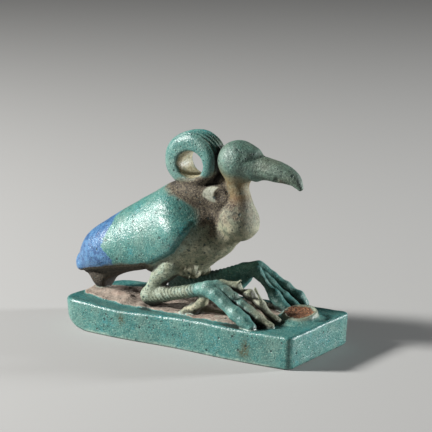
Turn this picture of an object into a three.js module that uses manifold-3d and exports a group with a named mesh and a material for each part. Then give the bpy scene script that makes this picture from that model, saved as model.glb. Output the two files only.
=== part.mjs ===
// Small suspension amulet: an ibis squatting on a low plinth, moulded in one
// piece of glazed faience with a ribbed hanging ring on the bird's back.
// Millimetres, +Z up, +X the way the bird faces, origin under the middle of
// the whole outline at the bottom of the plinth.
import * as THREE from 'three';
import { mergeVertices } from 'three/addons/utils/BufferGeometryUtils.js';
import Module from 'manifold-3d';

// ------------------------------------------------------------- plinth
const plinthLength = 54.0;
const plinthWidthFront = 21.8;
const plinthWidthRear = 19.6;
const plinthHeightFront = 6.7;
const plinthHeightRear = 5.75;
const plinthRadiusRear = 3.5;      // vertical corners, rear pair
const plinthRadiusFront = 1.3;     // vertical corners, front pair
const plinthEdge = 0.8;            // rounding of the top and bottom edges
const plinthBatter = 0.15;         // sides lean in towards the bottom
const plinthSkew = 0.06;           // the ends run a little askew

// ------------------------------------------------------------- body
const bodyTilt = THREE.MathUtils.degToRad(33.8);
// along the tilted axis: distance, height off the axis, half width, up, down
const bodyStations = [
  [-17.1, 24.7, 2.8, 2.3, 2.2],    // tail tip
  [-14.9, 24.6, 3.7, 3.5, 3.2],
  [-11.1, 24.5, 5.0, 4.6, 4.5],
  [-5.2, 23.4, 6.3, 5.8, 5.6],     // rump
  [1.3, 21.5, 7.1, 7.5, 8.2],
  [6.7, 19.7, 7.7, 8.9, 8.7],      // widest, at the thighs
  [11.0, 19.0, 7.6, 9.3, 7.9],     // shoulders
  [13.7, 18.0, 6.8, 8.2, 6.8],
  [15.9, 16.8, 5.4, 6.0, 5.4],     // breast
  [17.7, 15.8, 3.9, 3.9, 3.9],
];
const tailCap = 1.9;
const breastCap = 3.4;
// folded wings: their outline from the side, and how far they stand out
const wingStandOut = 0.7;          // to the sides and below; flush along the back
const wingOutline = [
  [-29.4, 8.4], [-21.0, 12.5], [-16.5, 13.3], [-11.2, 14.3], [-6.9, 16.0],
  [-2.7, 18.7], [0.4, 21.7], [1.3, 23.5], [0.6, 25.0], [-1.3, 25.7],
  [-3.8, 26.0], [-6.5, 27.2], [-10.0, 32.0], [-33.0, 23.0],
];
// tail feathers under the wing tips, down to the plinth:
// x, y, z, half width, up, down
const tailFeathers = [
  [-26.3, 0, 8.9, 1.9, 1.3, 1.9],
  [-25.2, 0, 8.3, 2.9, 1.9, 2.9],
  [-23.0, 0, 9.4, 3.5, 1.9, 1.9],
  [-17.3, 0, 12.1, 4.3, 1.9, 1.4],
  [-11.9, 0, 13.6, 5.4, 2.2, 1.8],
];

// ------------------------------------------------------------- neck, head, bill
// x, y, z, half width, back, front
const neckStations = [
  [8.2, 0, 22.8, 3.7, 3.6, 3.6],
  [8.3, 0, 24.1, 4.05, 4.05, 3.9], // fold of the neck resting on the breast
  [8.5, 0, 25.4, 4.0, 4.0, 3.8],
  [8.9, 0, 27.4, 3.35, 3.35, 3.35],
  [9.0, 0, 29.3, 2.6, 2.55, 2.6],
  [8.8, 0, 31.2, 2.3, 2.3, 2.4],   // thinnest, under the head
  [8.9, 0, 33.3, 2.7, 2.8, 2.6],
];
const headCentre = [8.7, 0, 36.1];
const headRadii = [4.25, 3.9, 4.25];
const faceCentre = [11.4, 0, 36.4];
const faceRadii = [3.25, 3.1, 3.1];
// bill on an arc: angle from upright, radius, half width, up, down
const billArcCentre = [10.4, 23.2];
const billStations = [
  [2, 12.95, 2.9, 2.6, 2.9],
  [14, 12.9, 2.55, 2.2, 2.4],
  [28, 13.1, 2.15, 1.9, 1.8],
  [40, 13.35, 1.6, 1.55, 1.35],
  [49, 13.5, 1.1, 1.0, 1.0],
  [54, 13.55, 0.65, 0.55, 0.6],
];

// ------------------------------------------------------------- hanging ring
const ringCentre = [-1.1, 36.0];
const ringWidth = 6.3;
const ringRimRadius = 4.8;         // outer radius at the two faces
const ringCrown = 0.75;            // extra radius at the middle of the band
const boreCentre = [-0.8, 35.35];  // the hole sits a little low in the ring
const boreRadius = 2.95;
const boreChamfer = 0.45;
const ringRibs = 5;
const ringRibDepth = 0.14;
const ringOval = 1.04;             // slightly longer than high
const saddleCentre = [-0.9, 0, 29.2];
const saddleRadii = [4.9, 3.6, 3.0];
// thin wall left between the ring, the back and the neck:
// x, y, z, half thickness, towards the ring, towards the breast
const webStations = [
  [0.5, 0, 29.0, 2.6, 2.5, 3.6],
  [4.2, 0, 29.4, 1.8, 2.6, 4.0],
  [7.6, 0, 29.6, 1.6, 3.0, 4.2],
];

// ------------------------------------------------------------- legs
// right leg (the left one is its mirror image): x, y, z, radius
const shank = [[-3.2, -5.0, 14.9, 2.6], [-7.0, -5.1, 11.7, 1.9], [-9.3, -5.1, 8.2, 1.9]];
const tarsus = [[-9.1, -5.1, 8.0, 1.8], [-4.9, -5.8, 9.1, 1.75], [0.5, -6.8, 10.5, 1.6],
  [5.4, -7.6, 12.2, 1.65], [8.0, -7.7, 12.7, 1.65]];
const hindToe = [[6.0, -7.5, 11.2, 1.3], [3.9, -6.5, 8.8, 1.3], [1.9, -5.8, 6.9, 1.3]];
const outerToe = [[7.6, -8.0, 12.2, 1.45], [11.2, -8.6, 10.0, 1.45], [13.8, -9.0, 8.1, 1.35], [15.9, -9.3, 6.7, 1.45]];
const middleToe = [[8.0, -7.1, 12.9, 1.3], [12.1, -6.4, 10.7, 1.35], [15.3, -6.2, 8.6, 1.3], [18.6, -6.2, 6.9, 1.1]];
const innerToe = [[8.2, -5.8, 12.9, 1.2], [11.4, -4.3, 11.4, 1.2], [14.7, -3.5, 9.6, 1.2], [19.0, -3.1, 7.0, 1.05]];

// ------------------------------------------------------------- broken stub
// stump of a lost figure that stood under the bill, on the middle line
const stubCentre = [21.8, 1.4];
const stubRadii = [2.8, 3.2];
const stubTop = 7.9;
const stubFlare = 1.25;

const origin = [1.39, 0, 0];       // brings the middle of the outline to x = 0

const glaze = new THREE.MeshStandardMaterial({ color: 0x4f9c96, roughness: 0.38, metalness: 0 });

const wasm = await Module();
wasm.setup();

// Closed sweep with rounded ends through stations [x, y, z, side, up, down].
// The section is an ellipse with its own height above and below the middle.
function sweep(stations, { around = 16, along = 16, caps = [1, 1], capRings = 3, axis = null, level = false } = {}) {
  const path = new THREE.CatmullRomCurve3(stations.map((s) => new THREE.Vector3(s[0], s[1], s[2])), false, 'catmullrom', 0.5);
  const size = new THREE.CatmullRomCurve3(stations.map((s) => new THREE.Vector3(s[3], s[4], s[5])), false, 'catmullrom', 0.5);
  const rings = along + 2 * capRings;
  const geometry = new THREE.SphereGeometry(1, around, rings);
  const position = geometry.attributes.position;
  const v = new THREE.Vector3();
  for (let j = 0; j <= rings; j += 1) {
    let t = (j - capRings) / along;
    let shrink = 1;
    let push = 0;
    if (j < capRings) {
      const a = (j / capRings) * Math.PI / 2;
      t = 0; shrink = Math.sin(a); push = -Math.cos(a) * caps[0];
    } else if (j > capRings + along) {
      const a = ((rings - j) / capRings) * Math.PI / 2;
      t = 1; shrink = Math.sin(a); push = Math.cos(a) * caps[1];
    }
    const centre = path.getPoint(t);
    const half = size.getPoint(t);
    const tangent = axis ? axis.clone() : path.getTangent(t);
    const side = level ? new THREE.Vector3(0, 0, 1).cross(tangent).normalize() : new THREE.Vector3(0, 1, 0);
    const up = tangent.clone().cross(side).normalize();
    for (let i = 0; i <= around; i += 1) {
      const phi = (i / around) * 2 * Math.PI;
      const c = i === around ? 1 : Math.cos(phi);
      const s = i === around ? 0 : Math.sin(phi);
      v.copy(centre)
        .addScaledVector(side, -c * half.x * shrink)
        .addScaledVector(up, s * (s > 0 ? half.y : half.z) * shrink)
        .addScaledVector(tangent, push);
      position.setXYZ(j * (around + 1) + i, v.x, v.y, v.z);
    }
  }
  return geometry;
}

function limb(knots, mirror, options = {}) {
  const stations = knots.map(([x, y, z, r]) => [x, y * mirror, z, r, r, r]);
  const r0 = knots[0][3];
  const r1 = knots[knots.length - 1][3];
  return sweep(stations, { around: 8, along: 2 * (knots.length - 1), caps: [r0, r1], capRings: 2, level: true, ...options });
}

function ellipsoid(centre, radii, around = 20, along = 12) {
  return new THREE.SphereGeometry(1, around, along).scale(...radii).translate(...centre);
}

function solid(geometry) {
  geometry.deleteAttribute('normal');
  geometry.deleteAttribute('uv');
  const merged = mergeVertices(geometry, 1e-4);
  const index = merged.index.array;
  const p = merged.attributes.position.array;
  const triVerts = [];
  for (let i = 0; i < index.length; i += 3) {
    const [a, b, c] = [index[i], index[i + 1], index[i + 2]];
    if (a !== b && b !== c && c !== a) triVerts.push(a, b, c);
  }
  let volume = 0;
  for (let i = 0; i < triVerts.length; i += 3) {
    const [a, b, c] = [triVerts[i] * 3, triVerts[i + 1] * 3, triVerts[i + 2] * 3];
    volume += p[a] * (p[b + 1] * p[c + 2] - p[b + 2] * p[c + 1])
      - p[a + 1] * (p[b] * p[c + 2] - p[b + 2] * p[c])
      + p[a + 2] * (p[b] * p[c + 1] - p[b + 1] * p[c]);
  }
  if (volume < 0) {
    for (let i = 0; i < triVerts.length; i += 3) {
      [triVerts[i + 1], triVerts[i + 2]] = [triVerts[i + 2], triVerts[i + 1]];
    }
  }
  return new wasm.Manifold(new wasm.Mesh({
    numProp: 3,
    vertProperties: Float32Array.from(p),
    triVerts: Uint32Array.from(triVerts),
  }));
}

// ------------------------------------------------------------- plinth
function plinth() {
  const hx = plinthLength / 2;
  const height = plinthHeightFront;
  const halfAt = (x) => THREE.MathUtils.lerp(plinthWidthRear, plinthWidthFront, (x + hx) / plinthLength) / 2;
  const shape = new THREE.Shape();
  const rr = plinthRadiusRear;
  const rf = plinthRadiusFront;
  const wr = halfAt(-hx);
  const wf = halfAt(hx);
  const k = (x, y) => [x + plinthSkew * y, y];
  shape.moveTo(...k(-hx + rr, -halfAt(-hx + rr)));
  shape.lineTo(...k(0, -halfAt(0)));
  shape.lineTo(...k(hx - rf, -halfAt(hx - rf)));
  shape.quadraticCurveTo(...k(hx, -wf), ...k(hx, -wf + rf));
  shape.lineTo(...k(hx, wf - rf));
  shape.quadraticCurveTo(...k(hx, wf), ...k(hx - rf, halfAt(hx - rf)));
  shape.lineTo(...k(0, halfAt(0)));
  shape.lineTo(...k(-hx + rr, halfAt(-hx + rr)));
  shape.quadraticCurveTo(...k(-hx, wr), ...k(-hx, wr - rr));
  shape.lineTo(...k(-hx, -wr + rr));
  shape.quadraticCurveTo(...k(-hx, -wr), ...k(-hx + rr, -halfAt(-hx + rr)));
  const geometry = new THREE.ExtrudeGeometry(shape, {
    depth: height - 2 * plinthEdge,
    steps: 2,
    curveSegments: 5,
    bevelEnabled: true,
    bevelThickness: plinthEdge,
    bevelSize: plinthEdge,
    bevelOffset: -plinthEdge,
    bevelSegments: 2,
  }).translate(0, 0, plinthEdge);
  const p = geometry.attributes.position;
  for (let i = 0; i < p.count; i += 1) {
    const x = p.getX(i);
    const y = p.getY(i);
    const z = p.getZ(i);
    const inset = plinthBatter * (height - z);
    const top = THREE.MathUtils.lerp(plinthHeightRear, plinthHeightFront, (x + hx) / plinthLength);
    p.setXYZ(i, x * (1 - inset / hx), y * (1 - inset / wf), z * (top / height));
  }
  return solid(geometry);
}

// ------------------------------------------------------------- body and wings
const bodyAxis = new THREE.Vector3(Math.cos(bodyTilt), 0, Math.sin(bodyTilt));
function bodySweep(grow) {
  // grow widens the sides and underside and leaves the ridge of the back
  const stations = bodyStations.map(([s, n, w, u, d]) => [
    Math.cos(bodyTilt) * s - Math.sin(bodyTilt) * n, 0,
    Math.sin(bodyTilt) * s + Math.cos(bodyTilt) * n,
    w + grow, u + 0.1 * grow, d + grow,
  ]);
  return solid(sweep(stations, {
    around: 24, along: 16, capRings: 3, axis: bodyAxis, caps: [tailCap + grow, breastCap + grow],
  }));
}

function wings() {
  const outline = new THREE.Shape();
  const points = wingOutline.map(([x, z]) => new THREE.Vector2(x, z));
  outline.setFromPoints([points[0], ...new THREE.SplineCurve(points.slice(1, 12)).getPoints(18)]);
  outline.lineTo(points[12].x, points[12].y);
  outline.lineTo(points[13].x, points[13].y);
  outline.closePath();
  const block = new THREE.ExtrudeGeometry(outline, { depth: 24, bevelEnabled: false, curveSegments: 2 })
    .rotateX(Math.PI / 2)
    .translate(0, 12, 0);
  return bodySweep(wingStandOut).intersect(solid(block));
}

// ------------------------------------------------------------- ring
function ring() {
  const profile = [];
  const half = ringWidth / 2;
  const crown = (y) => ringRimRadius + ringCrown * Math.sqrt(Math.max(0, 1 - (y / (half * 1.05)) ** 2));
  const steps = ringRibs * 2;
  profile.push(new THREE.Vector2(0, -half));
  profile.push(new THREE.Vector2(ringRimRadius - 0.2, -half));
  for (let i = 0; i <= steps; i += 1) {
    const y = THREE.MathUtils.lerp(-half + 0.35, half - 0.35, i / steps);
    const rib = ringRibDepth * Math.cos((i / steps) * ringRibs * 2 * Math.PI);
    profile.push(new THREE.Vector2(crown(y) - rib, y));
  }
  profile.push(new THREE.Vector2(ringRimRadius - 0.2, half));
  profile.push(new THREE.Vector2(0, half));
  return solid(new THREE.LatheGeometry(profile, 32)
    .scale(ringOval, 1, 1)
    .translate(ringCentre[0], 0, ringCentre[1]));
}

function bore() {
  const half = ringWidth / 2;
  const r = boreRadius;
  const c = boreChamfer;
  const profile = [[0, -half - 1], [r + c + 1, -half - 1], [r, -half + c], [r, half - c], [r + c + 1, half + 1], [0, half + 1]]
    .map(([x, y]) => new THREE.Vector2(x, y));
  return solid(new THREE.LatheGeometry(profile, 28).translate(boreCentre[0], 0, boreCentre[1]));
}

function bill() {
  const [cx, cz] = billArcCentre;
  return solid(sweep(billStations.map(([deg, r, w, u, d]) => {
    const a = THREE.MathUtils.degToRad(deg);
    return [cx + r * Math.sin(a), 0, cz + r * Math.cos(a), w, u, d];
  }), { around: 12, along: 10, capRings: 2, caps: [1.5, 0.5] }));
}

function leg(mirror) {
  return [shank, tarsus, hindToe, outerToe, middleToe, innerToe]
    .map((knots) => solid(limb(knots, mirror)))
    .reduce((a, b) => a.add(b));
}

function stub() {
  const geometry = new THREE.CylinderGeometry(1, stubFlare, 1, 20, 1)
    .rotateX(Math.PI / 2)
    .scale(stubRadii[0], stubRadii[1], stubTop - 5.0)
    .translate(stubCentre[0], stubCentre[1], (stubTop + 5.0) / 2);
  return solid(geometry);
}

const whole = plinth()
  .add(bodySweep(0))
  .add(wings())
  .add(solid(sweep(tailFeathers, { around: 12, along: 8, caps: [0.9, 1.5] })))
  .add(solid(sweep(neckStations, { around: 16, along: 10, caps: [3.0, 2.0], axis: new THREE.Vector3(0, 0, 1) })))
  .add(solid(ellipsoid(headCentre, headRadii, 18, 12)))
  .add(solid(ellipsoid(faceCentre, faceRadii, 14, 8)))
  .add(bill())
  .add(solid(ellipsoid(saddleCentre, saddleRadii, 16, 10)))
  .add(solid(sweep(webStations, { around: 12, along: 6, caps: [1.5, 1.0] })))
  .add(ring())
  .subtract(bore())
  .add(leg(1))
  .add(leg(-1))
  .add(stub());

const out = whole.getMesh();
const geometry = new THREE.BufferGeometry();
geometry.setAttribute('position', new THREE.BufferAttribute(Float32Array.from(out.vertProperties), 3));
geometry.setIndex(new THREE.BufferAttribute(Uint32Array.from(out.triVerts), 1));
geometry.translate(...origin);
geometry.computeVertexNormals();

const amulet = new THREE.Mesh(geometry, glaze);
amulet.name = 'ibis_amulet';

const group = new THREE.Group();
group.add(amulet);

export default group;
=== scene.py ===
import math
import numpy as np
import bpy
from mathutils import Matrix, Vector


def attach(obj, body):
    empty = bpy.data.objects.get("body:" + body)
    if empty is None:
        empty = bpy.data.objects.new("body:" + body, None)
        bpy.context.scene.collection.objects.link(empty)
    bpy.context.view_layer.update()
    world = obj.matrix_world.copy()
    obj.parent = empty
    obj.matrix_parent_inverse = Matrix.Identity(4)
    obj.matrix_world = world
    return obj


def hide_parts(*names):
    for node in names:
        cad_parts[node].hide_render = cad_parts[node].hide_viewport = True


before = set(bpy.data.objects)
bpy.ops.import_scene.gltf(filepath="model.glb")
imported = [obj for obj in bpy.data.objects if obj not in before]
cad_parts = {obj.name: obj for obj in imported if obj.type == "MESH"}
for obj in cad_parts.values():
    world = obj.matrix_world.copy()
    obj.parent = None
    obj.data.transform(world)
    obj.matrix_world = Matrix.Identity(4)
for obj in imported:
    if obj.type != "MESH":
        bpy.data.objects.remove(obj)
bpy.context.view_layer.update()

# Faience amulet of a squatting ibis: bird, ribbed hanging ring, plinth and the
# stump of a lost figure, moulded and fired as one piece. The form is worked
# out as a distance field, meshed, and its surface states (glaze, cobalt tail,
# bare faience, dirt, crust, break), with painted shade and painted highlights,
# are kept as point values for the material.


# ------------------------------------------------------------------ form
# The amulet as a distance field in millimetres, in the drawing frame: +X the
# way the bird faces, +Y its left, +Z up, z = 0 under the plinth.
f4 = np.float32


def smin(a, b, k):
    h = np.maximum(k - np.abs(a - b), 0) / k
    return np.minimum(a, b) - h * h * k * 0.25


def smax(a, b, k):
    return -smin(-a, -b, k)


def sstep(x, a, b):
    t = np.clip((x - a) / (b - a), 0, 1)
    return t * t * (3 - 2 * t)


def ell(x, y, z, c, r):
    X = x - c[0]; Y = y - c[1]; Z = z - c[2]
    k0 = np.sqrt((X / r[0]) ** 2 + (Y / r[1]) ** 2 + (Z / r[2]) ** 2)
    k1 = np.sqrt((X / r[0] ** 2) ** 2 + (Y / r[1] ** 2) ** 2 + (Z / r[2] ** 2) ** 2) + 1e-6
    return k0 * (k0 - 1) / k1


def ell_tilt(x, y, z, c, r, tilt=0.0, yaw=0.0, roll=0.0):
    """ellipsoid turned by yaw about Z, then tilt (nose up) about Y, then roll"""
    X = x - c[0]; Y = y - c[1]; Z = z - c[2]
    cy, sy = math.cos(math.radians(yaw)), math.sin(math.radians(yaw))
    X, Y = cy * X + sy * Y, -sy * X + cy * Y
    ct, st = math.cos(math.radians(tilt)), math.sin(math.radians(tilt))
    X, Z = ct * X + st * Z, -st * X + ct * Z
    cr, sr = math.cos(math.radians(roll)), math.sin(math.radians(roll))
    Y, Z = cr * Y + sr * Z, -sr * Y + cr * Z
    k0 = np.sqrt((X / r[0]) ** 2 + (Y / r[1]) ** 2 + (Z / r[2]) ** 2)
    k1 = np.sqrt((X / r[0] ** 2) ** 2 + (Y / r[1] ** 2) ** 2 + (Z / r[2] ** 2) ** 2) + 1e-6
    return k0 * (k0 - 1) / k1


def cone(x, y, z, a, b, ra, rb):
    bx, by, bz = b[0] - a[0], b[1] - a[1], b[2] - a[2]
    px, py, pz = x - a[0], y - a[1], z - a[2]
    t = np.clip((px * bx + py * by + pz * bz) / (bx * bx + by * by + bz * bz), 0, 1)
    return np.sqrt((px - t * bx) ** 2 + (py - t * by) ** 2 + (pz - t * bz) ** 2) - (ra + (rb - ra) * t)


def chain(x, y, z, pts, k=0.6):
    d = None
    for p, q in zip(pts[:-1], pts[1:]):
        c = cone(x, y, z, p[:3], q[:3], p[3], q[3])
        d = c if d is None else smin(d, c, k)
    return d


def crom(rows, n=6):
    R = np.asarray(rows, float)
    out = []
    for i in range(len(R) - 1):
        p0 = R[max(i - 1, 0)]; p1 = R[i]; p2 = R[i + 1]; p3 = R[min(i + 2, len(R) - 1)]
        for j in range(n):
            t = j / n
            out.append(0.5 * ((2 * p1) + (-p0 + p2) * t + (2 * p0 - 5 * p1 + 4 * p2 - p3) * t * t
                              + (-p0 + 3 * p1 - 3 * p2 + p3) * t ** 3))
    out.append(R[-1])
    return np.array(out)


def axloft(s, n, y, T, c0, c1, squash=2.0):
    """loft of half-ellipse sections along s; T: s, centre n, half width, up, down"""
    ip = lambda k: np.interp(s, T[:, 0], T[:, k]).astype(f4)
    nc, a, up, dn = ip(1), ip(2), ip(3), ip(4)
    s0, s1 = T[0, 0], T[-1, 0]
    e = np.where(s < s0, (s0 - s) / c0, np.maximum(s - s1, 0) / c1)
    g = np.where(s < s0, c0, c1)
    m = n - nc
    b = np.where(m > 0, up, dn)
    k0 = np.sqrt((y / a) ** 2 + (m / b) ** 2 + e * e)
    k1 = np.sqrt((y / a ** 2) ** 2 + (m / b ** 2) ** 2 + (e / g) ** 2) + 1e-6
    return np.where(k0 < 1e-3, -np.minimum(a, b), k0 * (k0 - 1) / k1)


def poly2(x, z, pts):
    V = np.asarray(pts, f4)
    d = np.full(x.shape, 1e9, f4)
    s = np.ones(x.shape, f4)
    for i in range(len(V)):
        j = (i - 1) % len(V)
        ex, ez = V[j, 0] - V[i, 0], V[j, 1] - V[i, 1]
        wx, wz = x - V[i, 0], z - V[i, 1]
        t = np.clip((wx * ex + wz * ez) / (ex * ex + ez * ez + 1e-12), 0, 1)
        d = np.minimum(d, (wx - ex * t) ** 2 + (wz - ez * t) ** 2)
        c1 = z >= V[i, 1]; c2 = z < V[j, 1]; c3 = (ex * wz) > (ez * wx)
        s = np.where((c1 & c2 & c3) | (~c1 & ~c2 & ~c3), -s, s)
    return s * np.sqrt(d)


# value noise on an integer lattice, hashed, so it is the same every run
def _hash(i, j, k, seed):
    h = (i * 374761393 + j * 668265263 + k * 2147483647 + seed * 1274126177) & 0xFFFFFFFF
    h = ((h ^ (h >> 13)) * 1103515245) & 0xFFFFFFFF
    h = ((h ^ (h >> 16)) * 1540483477) & 0xFFFFFFFF
    return ((h ^ (h >> 15)) & 0xFFFFFF).astype(f4) / f4(0xFFFFFF)


def noise(x, y, z, scale, seed=0):
    """smooth value noise, about -1..1, one bump about `scale` mm across"""
    u, v, w = np.asarray(x / scale, f4), np.asarray(y / scale, f4), np.asarray(z / scale, f4)
    # the lattice is turned off the axes so that no rows show on the flat faces
    X = f4(0.36) * u + f4(0.48) * v - f4(0.8) * w + f4(1000.31)
    Y = f4(-0.8) * u + f4(0.6) * v + f4(1000.17)
    Z = f4(0.48) * u + f4(0.64) * v + f4(0.6) * w + f4(1000.73)
    i = np.floor(X).astype(np.int64); j = np.floor(Y).astype(np.int64); k = np.floor(Z).astype(np.int64)
    u = X - i; v = Y - j; w = Z - k
    u = u * u * (3 - 2 * u); v = v * v * (3 - 2 * v); w = w * w * (3 - 2 * w)
    r = 0
    for a in (0, 1):
        for b in (0, 1):
            for c in (0, 1):
                r = r + _hash(i + a, j + b, k + c, seed) * ((u if a else 1 - u) * (v if b else 1 - v) * (w if c else 1 - w))
    return (r * 2 - 1).astype(f4)


def fbm(x, y, z, scale, octaves=3, seed=0, gain=0.5):
    t = 0; amp = 1.0; norm = 0
    for o in range(octaves):
        t = t + amp * noise(x, y, z, scale / 2 ** o, seed + 17 * o)
        norm += amp
        amp *= gain
    return t / norm


def boxed(P, lo, hi, fn, pad=1.6):
    """run fn only near its box; elsewhere give the distance to the box"""
    x, y, z = P
    dx = np.maximum(np.maximum(lo[0] - x, x - hi[0]), 0)
    dy = np.maximum(np.maximum(lo[1] - y, y - hi[1]), 0)
    dz = np.maximum(np.maximum(lo[2] - z, z - hi[2]), 0)
    d = np.sqrt(dx * dx + dy * dy + dz * dz) + f4(0.3)
    m = d < pad + 0.3
    if m.any():
        d[m] = fn(x[m], y[m], z[m])
    return d


# ------------------------------------------------------------------ sizes
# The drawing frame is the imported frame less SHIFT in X.
SHIFT = 1.39
TILT = math.radians(33.8)
CT, ST = math.cos(TILT), math.sin(TILT)
# body along its tilted axis: distance, height off it, half width, up, down
BODY = crom([(-15.9, 24.5, 2.7, 2.2, 2.0), (-13.9, 24.6, 3.8, 3.5, 3.1), (-11.1, 24.5, 5.0, 4.6, 4.5),
             (-5.2, 23.4, 6.3, 5.8, 5.6), (1.3, 21.5, 7.1, 7.5, 8.2), (6.7, 19.7, 7.6, 8.9, 8.7),
             (11.0, 19.0, 7.6, 9.3, 7.9), (13.7, 18.0, 6.4, 8.2, 6.8), (15.7, 16.8, 4.6, 6.0, 5.4),
             (17.4, 15.8, 3.2, 3.9, 3.9)])
# folded wing in side view, over the back and cut off in front of the shoulder
WING = [(-29.4, 9.6), (-25.0, 10.7), (-22.0, 11.5), (-18.4, 12.3), (-15.4, 12.95), (-10.7, 14.15), (-7.8, 15.1), (-4.1, 17.0), (-1.9, 18.4),
        (0.0, 20.7), (1.15, 22.6), (1.6, 23.9), (2.6, 25.2), (4.5, 27.0), (3.5, 31.0), (-10.0, 36.0), (-33.0, 25.0)]
# what of it carries the turquoise glaze above the crease
SHIELD = [(-14.0, 24.6), (-6.1, 24.6), (-4.3, 24.4), (-1.9, 24.1), (-0.2, 23.6), (0.9, 23.4), (1.5, 22.7), (2.4, 22.9),
          (2.9, 24.4), (2.3, 25.9), (0.9, 27.2), (-1.2, 28.6), (-4.5, 29.6), (-6.6, 30.4), (-12.0, 34.0), (-24.0, 32.0)]
CREASE = [(-8.5, 26.4), (-4.3, 25.95), (-1.9, 25.65), (-0.2, 25.2), (0.9, 24.7), (1.9, 23.8)]
TAIL = crom([(-26.7, 10.4, 1.7, 1.2, 1.2), (-25.7, 10.3, 2.3, 1.6, 2.1), (-24.5, 9.9, 2.7, 2.4, 3.2), (-22.6, 10.2, 2.8, 2.6, 3.8),
             (-20.9, 10.9, 2.8, 2.6, 2.0), (-17.3, 12.3, 3.5, 2.4, 1.5), (-11.9, 13.8, 4.5, 2.2, 1.4)], 3)
# neck against height: z, -x of its centre, half width, back, front
NECK = crom([(23.5, -8.7, 3.6, 3.6, 3.6), (25.6, -8.65, 3.6, 3.7, 3.7), (27.6, -8.85, 2.85, 2.95, 2.95), (29.5, -8.9, 2.15, 2.2, 2.2),
             (31.3, -8.45, 2.05, 2.12, 2.12), (33.2, -8.5, 2.5, 2.5, 2.4), (35.0, -8.6, 2.6, 2.6, 2.6)])
# bill round an arc: degrees, radius, half width, up, down
BILL_C = (14.93, 25.27)
BILL_ARC = math.pi / 180 * 10.4
BILL = crom([(-14, 10.4, 2.7, 2.5, 2.5), (-4.5, 10.4, 2.5, 2.35, 2.3), (4, 10.32, 2.35, 2.1, 2.15), (13, 10.27, 2.15, 2.05, 2.05),
             (24, 10.42, 1.8, 1.8, 1.68), (33, 10.6, 1.4, 1.48, 1.33), (39.5, 10.58, 1.0, 1.06, 1.04), (44.5, 10.37, 0.62, 0.62, 0.6)])
BILL[:, 0] *= BILL_ARC
RING_C = (-1.15, 35.95)
BORE_C = (-0.75, 35.25)
NEAR = dict(
    tarsus=[(-9.0, -5.1, 8.0, 1.6), (-4.9, -5.8, 9.2, 1.35), (0.5, -6.8, 10.8, 1.12), (4.6, -7.5, 12.1, 1.3), (7.0, -7.7, 12.7, 1.5)],
    hind=[(5.6, -7.3, 11.3, 1.0), (4.6, -6.8, 9.5, 1.05), (3.6, -6.6, 8.5, 0.8), (2.4, -6.5, 7.7, 1.15), (1.0, -6.4, 6.9, 0.95), (0.0, -6.5, 6.4, 0.7)],
    outer=[(6.4, -8.1, 12.6, 1.5), (8.4, -8.3, 11.8, 1.35), (10.4, -8.5, 10.5, 1.25), (12.2, -8.7, 9.4, 1.12), (13.2, -8.9, 8.9, 1.32),
           (15.2, -9.1, 7.8, 1.3), (17.0, -9.4, 6.9, 0.95)],
    middle=[(7.9, -7.0, 13.1, 1.25), (9.6, -6.8, 12.2, 1.15), (11.4, -6.6, 11.1, 1.15), (12.2, -6.5, 10.5, 1.0), (13.2, -6.5, 9.9, 1.15),
            (14.8, -6.4, 8.9, 1.2), (16.9, -6.4, 7.8, 1.08), (17.8, -6.3, 7.3, 0.8), (19.5, -6.2, 6.7, 0.66)],
    inner=[(8.2, -5.8, 13.2, 1.05), (9.7, -5.1, 13.1, 0.8), (10.9, -4.6, 12.9, 0.95), (11.9, -4.2, 11.9, 0.65), (13.3, -3.9, 11.4, 1.1),
           (14.6, -3.8, 10.4, 0.68), (15.8, -3.9, 9.9, 0.95), (17.2, -3.6, 8.4, 0.62), (19.3, -3.1, 6.9, 0.75)])
FAR = dict(
    tarsus=[(-9.0, 5.1, 8.0, 1.8), (-4.9, 5.8, 9.1, 1.7), (0.5, 6.8, 10.5, 1.55), (5.4, 7.6, 12.4, 1.65), (8.3, 7.8, 13.2, 1.6)],
    hind=[(6.0, 7.5, 11.2, 1.2), (3.9, 6.5, 8.8, 1.2), (1.9, 5.8, 6.9, 1.3)],
    outer=[(8.6, 7.9, 13.3, 1.5), (11.4, 8.3, 11.7, 1.3), (12.6, 8.4, 10.9, 1.2), (14.2, 8.6, 9.95, 1.4), (15.6, 8.8, 9.0, 1.2),
           (17.0, 8.9, 8.4, 1.35), (18.3, 9.0, 7.2, 1.0)],
    middle=[(8.4, 7.1, 13.0, 1.3), (11.9, 6.6, 10.9, 1.25), (13.2, 6.5, 10.0, 1.05), (15.2, 6.3, 8.7, 1.25), (18.4, 6.2, 7.0, 0.9)],
    inner=[(9.3, 6.0, 13.4, 1.0), (11.3, 5.2, 11.7, 0.72), (12.7, 4.9, 10.3, 0.8), (14.0, 4.6, 9.4, 1.25), (15.3, 4.2, 8.2, 1.2),
           (17.3, 3.9, 7.0, 1.0)])


def near_edge(x):
    """the uneven height of the plinth's near top edge"""
    return np.interp(x, [-27, -22.5, -17.6, -12.9, -7.9, -3.4, 5.6, 13.5, 22.8, 27],
                     [6.15, 6.25, 6.0, 5.85, 6.0, 6.2, 6.55, 6.45, 6.5, 6.6]).astype(f4)


def crust_mask(x, y):
    """where the plinth's top carries a gritty crust, 0..1"""
    edge = np.interp(x, [-27.5, -25, -20.2, -15.7, -12.8, -8.7, -4.3, 0.7, 2.9, 8, 12, 15.5, 18.5],
                     [1.4, 4.3, 5.6, 6.5, 6.3, 6.3, 7.4, 7.5, 8.3, 8.5, 8.4, 6.5, 3.5]).astype(f4)
    w = 0.5 * fbm(x, y, x * 0, 1.9, 2, 91)
    m = sstep(np.abs(y) - edge + w, 0.35, -0.45)
    return m * sstep(x + 0.25 * w, 18.8, 17.6) * sstep(x + w, -27.2, -26.0)


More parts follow.
